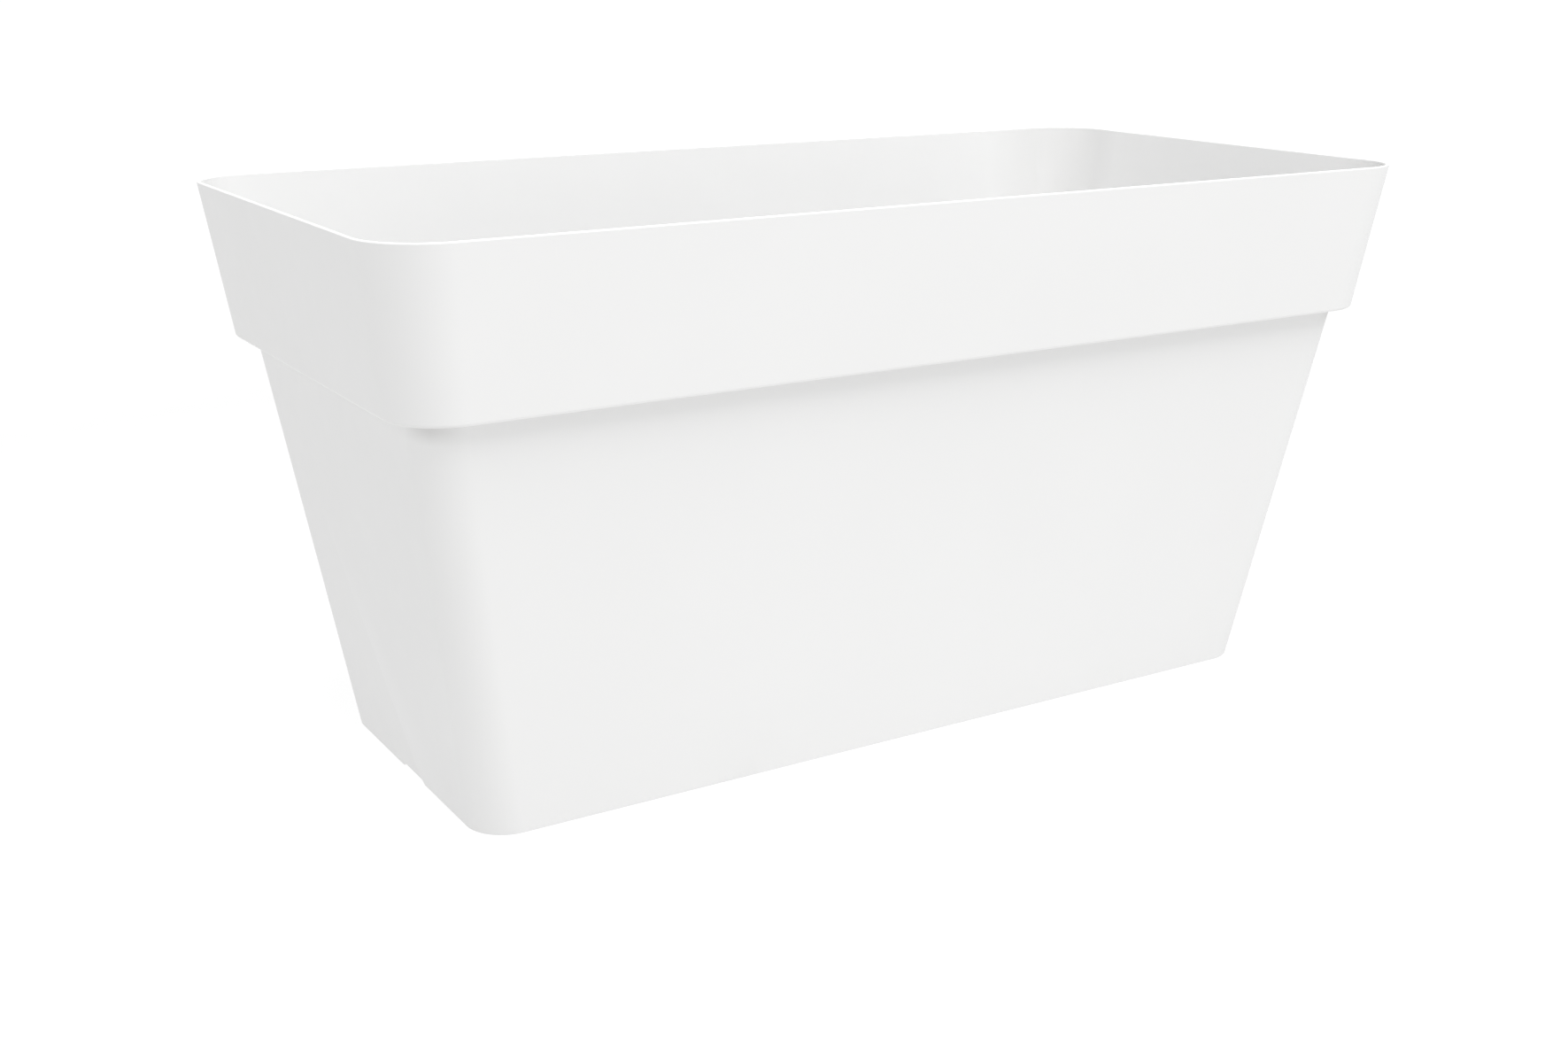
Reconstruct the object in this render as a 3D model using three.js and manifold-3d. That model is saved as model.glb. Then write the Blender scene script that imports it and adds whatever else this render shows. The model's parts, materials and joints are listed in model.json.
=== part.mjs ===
// Self-watering planter trough, in millimetres, +Z up, with its origin at the centre of its base.
// A tapered tub with a stepped rim band holds a lift-out insert: a slotted separator floor on legs, with wick
// baskets that hang into the water below it, a filling tube with a hinged flap, and a float gauge. Two risers
// in the tub's floor set the highest water level, and each is closed from below by a pull-out plug.
import * as THREE from "three";
import { mergeVertices } from "three/addons/utils/BufferGeometryUtils.js";
import Module from "manifold-3d";

const wasm = await Module();
wasm.setup();

// ---- driving dimensions: the tub ------------------------------------------------------------------------
const LENGTH = 800; // over the rim, along X
const WIDTH = 395; // over the rim, along Y
const HEIGHT = 394;
const BAND_HEIGHT = 108; // the wider band under the rim
const DRAFT = Math.tan(THREE.MathUtils.degToRad(8.4)); // outward lean of every wall, per unit of height
const LEDGE = 13; // how far the band stands out from the body
const WALL = 3;
const RIM_RADIUS = 45; // plan radius of the corners, at the rim
const BAND_RADIUS = 37; // at the band's lower edge
const BODY_RADIUS = 28; // and all the way up the body

const FOOT_HEIGHT = 12; // free height under the floor, inside the foot ring
const NOTCH = { front: -25, back: 15.5, height: 3 }; // drain notch in the foot ring, in each short side
const FLOOR_RIB = { thickness: 2, depth: 4, lengthwise: [-60, 60], crosswise: [-220, -110, 0, 110, 220] };
const WATER_LEVEL = 66; // the highest water, at the top of the overflow risers
const RISER = { x: 285, topRadius: 17.5, footRadius: 24 };
const PLUG_HOLE_RADIUS = 8;
const PLUG = { headRadius: 11, headHeight: 4, clearance: 0.4, tip: 3 };
const PLUG_TAB = { width: 15, thickness: 3, length: 18 };
const SEAL_THICKNESS = 2.4;

// ---- driving dimensions: the insert ---------------------------------------------------------------------
const PLATE_Z = 72; // underside of the separator floor
const PLATE_THICKNESS = 3;
const PLATE_CLEARANCE = 1; // from the separator floor to the tub's wall
const LIP = { height: 6, thickness: 2.5 }; // upturned edge of the separator floor
const SPLIT = 1; // from the middle plane to each half of the separator floor
const PLATE_RIB = { y: 50, thickness: 2, depth: 6, from: 10, to: 300 };
const SLOT = { length: 34, width: 5, pitchX: 46, pitchY: 20, firstX: 32, columns: 7, rows: 11 };
const FLANGE = 2.5; // thickness of every flange and head that rests on the separator floor

const BASKET_X = [85, 210]; // on each side of the middle
const BASKET = { radius: 30, footRadius: 22, footZ: 20, wall: 2, flange: 6, slotWidth: 4, slotMargin: 8 };
const LEG_PLACES = [[30, -95], [30, 95], [295, 95], [200, -98]]; // under the right half
const LEG = { footRadius: 8.2, topRadius: 10.5, pegRadius: 4, headRadius: 6, wall: 2 };
const CLIP = { y: 68, length: 22, width: 14, prongX: 8, prongWidth: 10, prongThickness: 2 };

const TUBE_PLACE = [-290, -106]; // the filling tube, in the left front corner
const TUBE = { a: 26, b: 19, r: 8, wall: 2, top: 338, foot: 18, flange: 5 };
const OUTLET = { height: 14, inEnds: 16, inSides: 26 }; // openings at the tube's foot
const COLLAR = { top: 352, overlap: 12, wall: 2.6 };
const LID = { a: 33, b: 24.5, r: 12, thickness: 3, tabWidth: 18, tabDepth: 8 };
const HINGE = { y: -29.5, z: 354, pinRadius: 1.5, barrelRadius: 3.5, earRadius: 4, earFrom: 16, earTo: 20 };

const GAUGE_PLACE = [290, -106]; // the float gauge, in the right front corner
const GAUGE = { radius: 14, wall: 2, top: 322, foot: 17, flangeRadius: 20, inletWidth: 7, inletHeight: 18 };
const WINDOW = { top: 368, overlap: 6, wall: 2, chamfer: 3 };
const SCALE = { width: 15, thickness: 1.2, y: 11.1, height: 40 };
const FLOAT = { radius: 10.8, foot: 19, height: 26 }; // at the lowest water
const STEM = { radius: 2, top: 325, clearance: 0.6 };
const MARKER = { radius: 7, height: 8, chamfer: 2 };

const GAP = 0.3; // between pieces that rest on each other
const PAST = 5; // how far a cutting solid runs past the face that it opens
const SINK = 1; // how far a joined solid reaches into its neighbour

// Segments of a full turn, and of one rounded corner.
const FINE = 24;
const MEDIUM = 16;
const COARSE = 12;
const CORNER = 8;

const FLOOR_TOP = FOOT_HEIGHT + WALL;
const BAND_Z = HEIGHT - BAND_HEIGHT;
const PLATE_TOP = PLATE_Z + PLATE_THICKNESS;
const ON_PLATE = PLATE_TOP + GAP;
const THROUGH_PLATE = [PLATE_Z - PLATE_RIB.depth - PAST, PLATE_TOP + PAST];

// ---- materials ------------------------------------------------------------------------------------------
const plastic = (color, roughness, extra = {}) =>
  new THREE.MeshStandardMaterial({ color, roughness, metalness: 0, ...extra });
const materials = {
  tub: plastic(0xf1f1f0, 0.5),
  separator: plastic(0x55595c, 0.6),
  fitting: plastic(0x3c4042, 0.6),
  tube: plastic(0x55595c, 0.5),
  flap: plastic(0x9a9ea1, 0.5),
  window: plastic(0xe4eef0, 0.08, { transparent: true, opacity: 0.35 }),
  scale: plastic(0xf6f6f2, 0.5),
  float: plastic(0xeceae4, 0.8),
  marker: plastic(0xc62320, 0.35),
  pin: new THREE.MeshStandardMaterial({ color: 0xb9bcc0, roughness: 0.3, metalness: 1 }),
  plug: plastic(0x2b6cb0, 0.5),
  seal: plastic(0x1b1b1c, 0.85),
};

// ---- solids ---------------------------------------------------------------------------------------------
// A closed three.js geometry as a manifold-3d solid.
function solid(geometry) {
  const bare = geometry.clone();
  for (const name of Object.keys(bare.attributes)) {
    if (name !== "position") bare.deleteAttribute(name);
  }
  const merged = mergeVertices(bare, 1e-3);
  const vertProperties = merged.getAttribute("position").array;
  const triVerts = new Uint32Array(merged.index.array);
  return new wasm.Manifold(new wasm.Mesh({ numProp: 3, vertProperties, triVerts }));
}

// A manifold-3d solid as a three.js geometry.
function geometryOf(body) {
  const { vertProperties, triVerts } = body.getMesh();
  const geometry = new THREE.BufferGeometry();
  geometry.setAttribute("position", new THREE.BufferAttribute(vertProperties, 3));
  geometry.setIndex(new THREE.BufferAttribute(triVerts, 1));
  geometry.computeVertexNormals();
  return geometry;
}

const join = (first, ...others) => others.reduce((sum, other) => sum.add(other), first);
const cut = (first, ...others) => others.reduce((left, other) => left.subtract(other), first);
const moved = (body, x, y) => body.translate([x, y, 0]);
const inBothPlaces = (body, x) => [moved(body, -x, 0), moved(body, x, 0)];

// A box between its lowest and highest x, y and z.
function box(x0, x1, y0, y1, z0, z1) {
  const geometry = new THREE.BoxGeometry(x1 - x0, y1 - y0, z1 - z0);
  return solid(geometry.translate((x0 + x1) / 2, (y0 + y1) / 2, (z0 + z1) / 2));
}

// A box centred on the Z axis, between two heights.
const block = (sizeX, sizeY, z0, z1) => box(-sizeX / 2, sizeX / 2, -sizeY / 2, sizeY / 2, z0, z1);

// A profile of [radius, height] points turned about Z: anticlockwise from axis to axis, or closed on itself.
function turned(profile, segments = FINE) {
  const points = profile.map(([radius, height]) => new THREE.Vector2(radius, height));
  return solid(new THREE.LatheGeometry(points, segments).rotateX(Math.PI / 2));
}

const disc = (radius, z0, z1, segments = FINE) =>
  turned([[0, z0], [radius, z0], [radius, z1], [0, z1]], segments);

const ring = (inner, outer, z0, z1, segments = FINE) =>
  turned([[inner, z0], [outer, z0], [outer, z1], [inner, z1], [inner, z0]], segments);

// A round bar along X, on the line of the flap's hinge.
function hingeRod(radius, x0, x1) {
  const geometry = new THREE.CylinderGeometry(radius, radius, x1 - x0, COARSE);
  return solid(geometry.rotateZ(Math.PI / 2).translate((x0 + x1) / 2, HINGE.y, HINGE.z));
}

// A rectangle with rounded corners: half length a, half width b, corner radius r.
function roundedRectangle({ a, b, r }) {
  const shape = new THREE.Shape();
  const centres = [[a - r, b - r], [r - a, b - r], [r - a, r - b], [a - r, r - b]];
  centres.forEach(([x, y], quarter) => {
    shape.absarc(x, y, r, (quarter * Math.PI) / 2, ((quarter + 1) * Math.PI) / 2, false);
  });
  return shape;
}

// A solid through rounded rectangles at rising heights, each { z, a, b, r }.
function loft(levels, cornerSegments = CORNER) {
  const rings = levels.map((level) => {
    // A shape gives each of its arcs twice the divisions that it is asked for.
    const points = roundedRectangle(level).getPoints(cornerSegments / 2);
    return points.map((point) => [point.x, point.y, level.z]);
  });
  const count = rings[0].length;
  const top = (rings.length - 1) * count;
  const index = [];
  for (let low = 0; low < top; low += count) {
    for (let i = 0; i < count; i++) {
      const next = (i + 1) % count;
      index.push(low + i, low + next, low + count + i);
      index.push(low + next, low + count + next, low + count + i);
    }
  }
  const outline = rings[0].map(([x, y]) => new THREE.Vector2(x, y));
  for (const [i, j, k] of THREE.ShapeUtils.triangulateShape(outline, [])) {
    index.push(i, k, j);
    index.push(top + i, top + j, top + k);
  }
  const geometry = new THREE.BufferGeometry();
  geometry.setAttribute("position", new THREE.Float32BufferAttribute(rings.flat(2), 3));
  geometry.setIndex(index);
  return solid(geometry);
}

// An upright prism with the outline of a rounded rectangle.
const prism = (outline, z0, z1) => loft([{ ...outline, z: z0 }, { ...outline, z: z1 }]);

const grown = ({ a, b, r }, by) => ({ a: a + by, b: b + by, r: r + by });

// ---- the tub --------------------------------------------------------------------------------------------
// The outline of the band at height z, moved in by inset.
function bandOutline(z, inset = 0) {
  const lean = DRAFT * (HEIGHT - z) + inset;
  const r = THREE.MathUtils.mapLinear(z, BAND_Z, HEIGHT, BAND_RADIUS, RIM_RADIUS) - inset;
  return { z, a: LENGTH / 2 - lean, b: WIDTH / 2 - lean, r };
}

// The outline of the body at height z, moved in by inset.
function bodyOutline(z, inset = 0) {
  const lean = DRAFT * (HEIGHT - z) + LEDGE + inset;
  return { z, a: LENGTH / 2 - lean, b: WIDTH / 2 - lean, r: BODY_RADIUS - inset };
}

// A cone that follows the outside of a riser, moved in by inset.
function riserCone(z0, z1, inset) {
  const radius = (z) =>
    THREE.MathUtils.mapLinear(z, FLOOR_TOP, WATER_LEVEL, RISER.footRadius, RISER.topRadius) - inset;
  return turned([[0, z0], [radius(z0), z0], [radius(z1), z1], [0, z1]]);
}

function tub() {
  const cornerSegments = 12;
  const ledgeTop = BAND_Z + WALL;
  const outerLevels = [bodyOutline(0), bodyOutline(BAND_Z), bandOutline(BAND_Z), bandOutline(HEIGHT)];
  const innerLevels = [
    bodyOutline(FLOOR_TOP, WALL),
    bodyOutline(ledgeTop, WALL),
    bandOutline(ledgeTop, WALL),
    bandOutline(HEIGHT + PAST, WALL),
  ];
  const underLevels = [bodyOutline(-PAST, WALL), bodyOutline(FOOT_HEIGHT, WALL)];
  const notches = box(-LENGTH / 2, LENGTH / 2, NOTCH.front, NOTCH.back, -PAST, NOTCH.height);
  const walls = cut(
    loft(outerLevels, cornerSegments),
    loft(innerLevels, cornerSegments),
    loft(underLevels, cornerSegments),
    notches,
  );

  const ribFoot = FOOT_HEIGHT - FLOOR_RIB.depth;
  const ribEnds = bodyOutline(ribFoot, WALL / 2);
  const lengthwise = block(2 * ribEnds.a, FLOOR_RIB.thickness, ribFoot, FOOT_HEIGHT + SINK);
  const crosswise = block(FLOOR_RIB.thickness, 2 * ribEnds.b, ribFoot, FOOT_HEIGHT + SINK);
  const ribs = [
    ...FLOOR_RIB.lengthwise.map((y) => moved(lengthwise, 0, y)),
    ...FLOOR_RIB.crosswise.map((x) => moved(crosswise, x, 0)),
  ];

  const riser = riserCone(FLOOR_TOP - SINK, WATER_LEVEL, 0);
  const hollow = riserCone(-PAST, WATER_LEVEL - WALL, WALL);
  const plugHole = disc(PLUG_HOLE_RADIUS, WATER_LEVEL - WALL - SINK, WATER_LEVEL + PAST);
  const closed = join(walls, ...ribs, ...inBothPlaces(riser, RISER.x));
  return cut(closed, ...inBothPlaces(join(hollow, plugHole), RISER.x));
}

// ---- the separator floor --------------------------------------------------------------------------------
// Slots let spare water drain and air reach the soil. They keep clear of everything that is fitted.
function slotPlaces() {
  const [towerX, towerY] = GAUGE_PLACE;
  const clearance = SLOT.width / 2 + PAST;
  const fitted = [
    ...BASKET_X.map((x) => [x, 0, BASKET.radius + BASKET.flange]),
    ...LEG_PLACES.map(([x, y]) => [x, y, LEG.topRadius]),
    [towerX, towerY, TUBE.a + TUBE.flange],
    [CLIP.prongX, -CLIP.y, CLIP.width / 2],
    [CLIP.prongX, CLIP.y, CLIP.width / 2],
  ];
  const places = [];
  for (let column = 0; column < SLOT.columns; column++) {
    for (let row = 0; row < SLOT.rows; row++) {
      const x = SLOT.firstX + column * SLOT.pitchX;
      const y = (row - (SLOT.rows - 1) / 2) * SLOT.pitchY;
      const isClear = fitted.every(([fittedX, fittedY, reach]) => {
        const awayX = Math.max(Math.abs(fittedX - x) - SLOT.length / 2, 0);
        return Math.hypot(awayX, fittedY - y) > reach + clearance;
      });
      if (isClear) places.push([x, y]);
    }
  }
  return places;
}

// The right half holds the gauge. The left half is its mirror image, with the filling tube's socket instead.
function separatorHalf(isRight) {
  const outline = bodyOutline(PLATE_Z, WALL + PLATE_CLEARANCE);
  const tray = cut(
    prism(outline, PLATE_Z, PLATE_TOP + LIP.height),
    prism(grown(outline, -LIP.thickness), PLATE_TOP, HEIGHT),
    box(-LENGTH, SPLIT, -WIDTH, WIDTH, 0, HEIGHT),
  );
  const ribs = [-PLATE_RIB.y, PLATE_RIB.y].map((y) => {
    const [front, back] = [y - PLATE_RIB.thickness / 2, y + PLATE_RIB.thickness / 2];
    return box(PLATE_RIB.from, PLATE_RIB.to, front, back, PLATE_Z - PLATE_RIB.depth, PLATE_Z + SINK);
  });

  const basketHole = disc(BASKET.radius + SINK, ...THROUGH_PLATE);
  const pegHole = disc(LEG.pegRadius + GAP, ...THROUGH_PLATE, COARSE);
  const prongHole = block(CLIP.prongThickness + 2 * GAP, CLIP.prongWidth + 2 * GAP, ...THROUGH_PLATE);
  const slot = block(SLOT.length, SLOT.width, ...THROUGH_PLATE);
  const tower = isRight
    ? disc(GAUGE.radius + GAP, ...THROUGH_PLATE, MEDIUM)
    : prism(grown(TUBE, GAP), ...THROUGH_PLATE);
  const holes = [
    moved(tower, ...GAUGE_PLACE),
    ...BASKET_X.map((x) => moved(basketHole, x, 0)),
    ...LEG_PLACES.map((place) => moved(pegHole, ...place)),
    ...[-CLIP.y, CLIP.y].map((y) => moved(prongHole, CLIP.prongX, y)),
    ...slotPlaces().map((place) => moved(slot, ...place)),
  ];
  const half = cut(join(tray, ...ribs), ...holes);
  return isRight ? half : half.mirror([1, 0, 0]);
}

// A staple that joins the two halves: a bar on top, and a prong down through each half.
function joiningClip() {
  const bar = block(CLIP.length, CLIP.width, ON_PLATE, ON_PLATE + FLANGE);
  const prongTip = PLATE_Z - PLATE_THICKNESS;
  const prong = moved(block(CLIP.prongThickness, CLIP.prongWidth, prongTip, ON_PLATE + SINK), CLIP.prongX, 0);
  return join(bar, prong, prong.mirror([1, 0, 0]));
}

// A slotted cup of soil that reaches into the water. Its flange rests on the separator floor.
function wickBasket() {
  const { radius, footRadius, footZ, wall, flange, slotWidth, slotMargin } = BASKET;
  const segments = 20;
  const slotPairs = 4;
  const cup = turned([
    [0, footZ],
    [footRadius, footZ],
    [radius, ON_PLATE],
    [radius + flange, ON_PLATE],
    [radius + flange, ON_PLATE + FLANGE],
    [radius - wall, ON_PLATE + FLANGE],
    [footRadius - wall, footZ + wall],
    [0, footZ + wall],
  ], segments);
  const slotPair = block(3 * radius, slotWidth, footZ + slotMargin, PLATE_Z - slotMargin);
  const slots = Array.from({ length: slotPairs }, (_, i) =>
    slotPair.rotate([0, 0, (180 * (i + 0.5)) / slotPairs]),
  );
  return cut(cup, ...slots);
}

// A hollow leg, open below, with a peg that snaps up through the separator floor.
function supportLeg() {
  const { footRadius, topRadius, pegRadius, headRadius, wall } = LEG;
  const segments = 10;
  const footZ = FLOOR_TOP + GAP;
  const shoulderZ = PLATE_Z - GAP;
  return turned([
    [0, shoulderZ - 2 * wall],
    [topRadius - 1.5 * wall, shoulderZ - 2 * wall],
    [footRadius - wall, footZ],
    [footRadius, footZ],
    [topRadius, shoulderZ],
    [pegRadius, shoulderZ],
    [pegRadius, ON_PLATE],
    [headRadius, ON_PLATE],
    [pegRadius, ON_PLATE + FLANGE],
    [0, ON_PLATE + FLANGE],
  ], segments);
}

// ---- the filling tube with its collar and flap, about the tube's axis -------------------------------------
function fillingTube() {
  const outletZ = [TUBE.foot - PAST, TUBE.foot + OUTLET.height];
  const tube = join(
    prism(TUBE, TUBE.foot, TUBE.top),
    prism(grown(TUBE, TUBE.flange), ON_PLATE, ON_PLATE + FLANGE),
  );
  const bore = prism(grown(TUBE, -TUBE.wall), TUBE.foot - PAST, TUBE.top + PAST);
  const endOutlets = block(3 * TUBE.a, OUTLET.inEnds, ...outletZ);
  const sideOutlets = block(OUTLET.inSides, 3 * TUBE.b, ...outletZ);
  return cut(tube, bore, endOutlets, sideOutlets);
}

const hingePinHole = () => hingeRod(HINGE.pinRadius + GAP, -2 * HINGE.earTo, 2 * HINGE.earTo);

// A funnel that caps the tube, with two ears for the flap's hinge pin.
function fillingCollar() {
  const seat = TUBE.top + GAP;
  const low = TUBE.top - COLLAR.overlap;
  const outside = loft([{ z: low, ...grown(TUBE, COLLAR.wall + GAP) }, { z: COLLAR.top, ...LID }]);
  const socket = prism(grown(TUBE, GAP), low - PAST, seat);
  const funnel = loft([
    { z: seat - SINK, ...grown(TUBE, -TUBE.wall) },
    { z: COLLAR.top + SINK, ...grown(LID, -COLLAR.wall) },
  ]);
  const ears = [-HINGE.earTo, HINGE.earFrom].map((from) => {
    const to = from + HINGE.earTo - HINGE.earFrom;
    const front = HINGE.y - HINGE.earRadius;
    const bracket = box(from, to, front, COLLAR.wall - LID.b, COLLAR.top - COLLAR.overlap, COLLAR.top - 2);
    const neck = box(from, to, front, HINGE.y + HINGE.earRadius, COLLAR.top - 4, HINGE.z);
    return join(bracket, neck, hingeRod(HINGE.earRadius, from, to));
  });
  return cut(join(outside, ...ears), socket, funnel, hingePinHole());
}

function fillingFlap() {
  const low = COLLAR.top + GAP;
  const high = low + LID.thickness;
  const halfBarrel = HINGE.earFrom - 2 * GAP;
  const lid = loft([{ z: low, ...LID }, { z: high, ...grown(LID, -SINK) }]);
  const tab = moved(block(LID.tabWidth, LID.tabDepth, low, high), 0, LID.b + LID.tabDepth / 4);
  const web = box(-halfBarrel, halfBarrel, HINGE.y, SINK - LID.b, low, high);
  const barrel = hingeRod(HINGE.barrelRadius, -halfBarrel, halfBarrel);
  return cut(join(lid, tab, web, barrel), hingePinHole());
}

const flapHingePin = () => hingeRod(HINGE.pinRadius, -HINGE.earTo - SINK, HINGE.earTo + SINK);

// ---- the float gauge, about its own axis ------------------------------------------------------------------
function gaugeTube() {
  const { radius, wall, top, foot, flangeRadius, inletWidth, inletHeight } = GAUGE;
  const tube = join(
    disc(radius, foot, top, MEDIUM),
    disc(flangeRadius, ON_PLATE, ON_PLATE + FLANGE, MEDIUM),
  );
  const bore = join(
    disc(radius - wall, foot - PAST, top - 2 * wall, MEDIUM),
    disc(STEM.radius + STEM.clearance, foot, top + PAST, COARSE),
  );
  const inletPair = block(3 * radius, inletWidth, foot - PAST, foot + inletHeight);
  return cut(tube, bore, inletPair, inletPair.rotate([0, 0, 90]));
}

// A clear cap over the top of the gauge.
function gaugeWindow() {
  const { top, overlap, wall, chamfer } = WINDOW;
  const inner = GAUGE.radius + GAP;
  const outer = inner + wall;
  return turned([
    [0, top - wall],
    [inner, top - wall],
    [inner, GAUGE.top - overlap],
    [outer, GAUGE.top - overlap],
    [outer, top - chamfer],
    [outer - chamfer, top],
    [0, top],
  ]);
}

const gaugeScale = () =>
  moved(block(SCALE.width, SCALE.thickness, GAUGE.top + GAP, GAUGE.top + SCALE.height), 0, SCALE.y);
const gaugeFloat = () => ring(STEM.radius + GAP, FLOAT.radius, FLOAT.foot, FLOAT.foot + FLOAT.height, MEDIUM);
const gaugeStem = () => disc(STEM.radius, FLOAT.foot + SINK, STEM.top - GAP, COARSE);

// The coloured button that shows behind the window.
function gaugeMarker() {
  const { radius, height, chamfer } = MARKER;
  return turned([
    [0, STEM.top],
    [radius, STEM.top],
    [radius, STEM.top + height - chamfer],
    [radius - chamfer, STEM.top + height],
    [0, STEM.top + height],
  ], MEDIUM);
}

// ---- the overflow plugs, about the riser's axis -----------------------------------------------------------
const SEAL_TOP = WATER_LEVEL - WALL - GAP; // just under the riser's top

function overflowPlug() {
  const headTop = SEAL_TOP - SEAL_THICKNESS - GAP;
  const shank = PLUG_HOLE_RADIUS - PLUG.clearance;
  const tip = WATER_LEVEL + PLUG.tip;
  const plug = turned([
    [0, headTop - PLUG.headHeight],
    [PLUG.headRadius, headTop - PLUG.headHeight],
    [PLUG.headRadius, headTop],
    [shank, headTop],
    [shank, WATER_LEVEL + SINK],
    [shank - 2 * SINK, tip],
    [0, tip],
  ], MEDIUM);
  return join(plug, block(PLUG_TAB.width, PLUG_TAB.thickness, headTop - PLUG_TAB.length, headTop - SINK));
}

const plugSeal = () => ring(PLUG_HOLE_RADIUS, PLUG.headRadius, SEAL_TOP - SEAL_THICKNESS, SEAL_TOP, MEDIUM);

// ---- assembly ---------------------------------------------------------------------------------------------
function part(name, geometry, material, [x, y] = [0, 0]) {
  const mesh = new THREE.Mesh(geometry, material);
  mesh.name = name;
  mesh.position.set(x, y, 0);
  return mesh;
}

function groupAt([x, y], parts) {
  const group = new THREE.Group();
  group.position.set(x, y, 0);
  group.add(...parts);
  return group;
}

function separator() {
  const clip = geometryOf(joiningClip());
  const basket = geometryOf(wickBasket());
  const leg = geometryOf(supportLeg());
  const basketPlaces = [...BASKET_X.map((x) => [-x, 0]).reverse(), ...BASKET_X.map((x) => [x, 0])];
  const legPlaces = [...LEG_PLACES.map(([x, y]) => [-x, y]), ...LEG_PLACES];
  return groupAt([0, 0], [
    part("separator_left", geometryOf(separatorHalf(false)), materials.separator),
    part("separator_right", geometryOf(separatorHalf(true)), materials.separator),
    part("joining_clip_front", clip, materials.fitting, [0, -CLIP.y]),
    part("joining_clip_back", clip, materials.fitting, [0, CLIP.y]),
    ...basketPlaces.map((place, i) => part(`wick_basket_${i + 1}`, basket, materials.fitting, place)),
    ...legPlaces.map((place, i) => part(`support_leg_${i + 1}`, leg, materials.fitting, place)),
  ]);
}

const filler = () =>
  groupAt(TUBE_PLACE, [
    part("filling_tube", geometryOf(fillingTube()), materials.tube),
    part("filling_collar", geometryOf(fillingCollar()), materials.tube),
    part("filling_flap", geometryOf(fillingFlap()), materials.flap),
    part("flap_hinge_pin", geometryOf(flapHingePin()), materials.pin),
  ]);

const gauge = () =>
  groupAt(GAUGE_PLACE, [
    part("gauge_tube", geometryOf(gaugeTube()), materials.tube),
    part("gauge_window", geometryOf(gaugeWindow()), materials.window),
    part("gauge_scale", geometryOf(gaugeScale()), materials.scale),
    part("gauge_float", geometryOf(gaugeFloat()), materials.float),
    part("gauge_stem", geometryOf(gaugeStem()), materials.scale),
    part("gauge_marker", geometryOf(gaugeMarker()), materials.marker),
  ]);

const overflow = (side, x) =>
  groupAt([x, 0], [
    part(`overflow_plug_${side}`, geometryOf(overflowPlug()), materials.plug),
    part(`plug_seal_${side}`, geometryOf(plugSeal()), materials.seal),
  ]);

const planter = new THREE.Group();
planter.add(part("planter_tub", geometryOf(tub()), materials.tub));
planter.add(separator(), filler(), gauge());
planter.add(overflow("left", -RISER.x), overflow("right", RISER.x));

export default planter;
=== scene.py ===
"""The looks of the self-watering planter trough, in metres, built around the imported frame."""
import json
import math

import bmesh
import bpy
from mathutils import Matrix, Vector

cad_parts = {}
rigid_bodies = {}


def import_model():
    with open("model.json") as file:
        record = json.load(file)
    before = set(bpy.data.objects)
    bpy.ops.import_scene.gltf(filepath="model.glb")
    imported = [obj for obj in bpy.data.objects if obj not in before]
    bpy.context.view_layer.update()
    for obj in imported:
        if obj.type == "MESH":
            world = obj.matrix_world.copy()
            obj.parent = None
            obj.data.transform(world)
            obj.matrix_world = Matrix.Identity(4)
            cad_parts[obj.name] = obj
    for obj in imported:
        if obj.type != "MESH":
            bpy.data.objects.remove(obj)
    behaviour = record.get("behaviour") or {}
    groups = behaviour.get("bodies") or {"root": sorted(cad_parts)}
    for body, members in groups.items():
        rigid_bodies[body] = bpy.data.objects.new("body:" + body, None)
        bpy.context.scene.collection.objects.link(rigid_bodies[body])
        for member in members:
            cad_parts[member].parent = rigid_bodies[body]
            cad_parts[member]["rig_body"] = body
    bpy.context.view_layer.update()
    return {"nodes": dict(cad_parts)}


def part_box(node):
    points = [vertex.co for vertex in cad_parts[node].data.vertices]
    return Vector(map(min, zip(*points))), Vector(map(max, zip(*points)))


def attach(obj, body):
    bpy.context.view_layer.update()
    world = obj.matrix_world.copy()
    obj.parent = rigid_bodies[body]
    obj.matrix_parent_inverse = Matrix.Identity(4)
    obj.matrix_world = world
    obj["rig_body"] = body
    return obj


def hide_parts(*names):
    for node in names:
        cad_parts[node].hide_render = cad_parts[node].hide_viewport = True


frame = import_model()

MM = 0.001

# ---- the tub's section ------------------------------------------------------------------------------------
TUB_LOW, TUB_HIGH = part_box("planter_tub")
HEIGHT = TUB_HIGH.z
BAND_Z = HEIGHT - 107.5 * MM  # lower edge of the band under the rim
DRAFT = math.tan(math.radians(8.4))
LEDGE = 13 * MM
WALL = 3 * MM
RIM_RADIUS = 45 * MM
BAND_RADIUS = 37 * MM
BODY_RADIUS = 28 * MM
FLOOR_Z = 12 * MM  # underside of the floor
FLOOR_TOP = FLOOR_Z + WALL
FOOT_FILLET = 0.7 * MM
WATER_LEVEL = 66 * MM
PLUG_HOLE = 8 * MM
NOTCH_WIDTH = 45.5 * MM
NOTCH_HEIGHT = 3 * MM
NOTCH_ROUND = 9.5 * MM
NOTCH_SHIFT = -4.75 * MM  # from the middle of the short side
RIB_HALF = 1 * MM
LONG_RIBS = (-60 * MM, 60 * MM)
CROSS_RIBS = tuple(110 * MM * i for i in range(-2, 3))
RISER_TOP, RISER_FOOT = 17.5 * MM, 24 * MM  # outer radii

# ---- the insert -------------------------------------------------------------------------------------------
PLATE_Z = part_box("separator_right")[0].z + 6 * MM
PLATE_TOP = PLATE_Z + 3 * MM
FLANGE_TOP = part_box("wick_basket_1")[1].z

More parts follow.
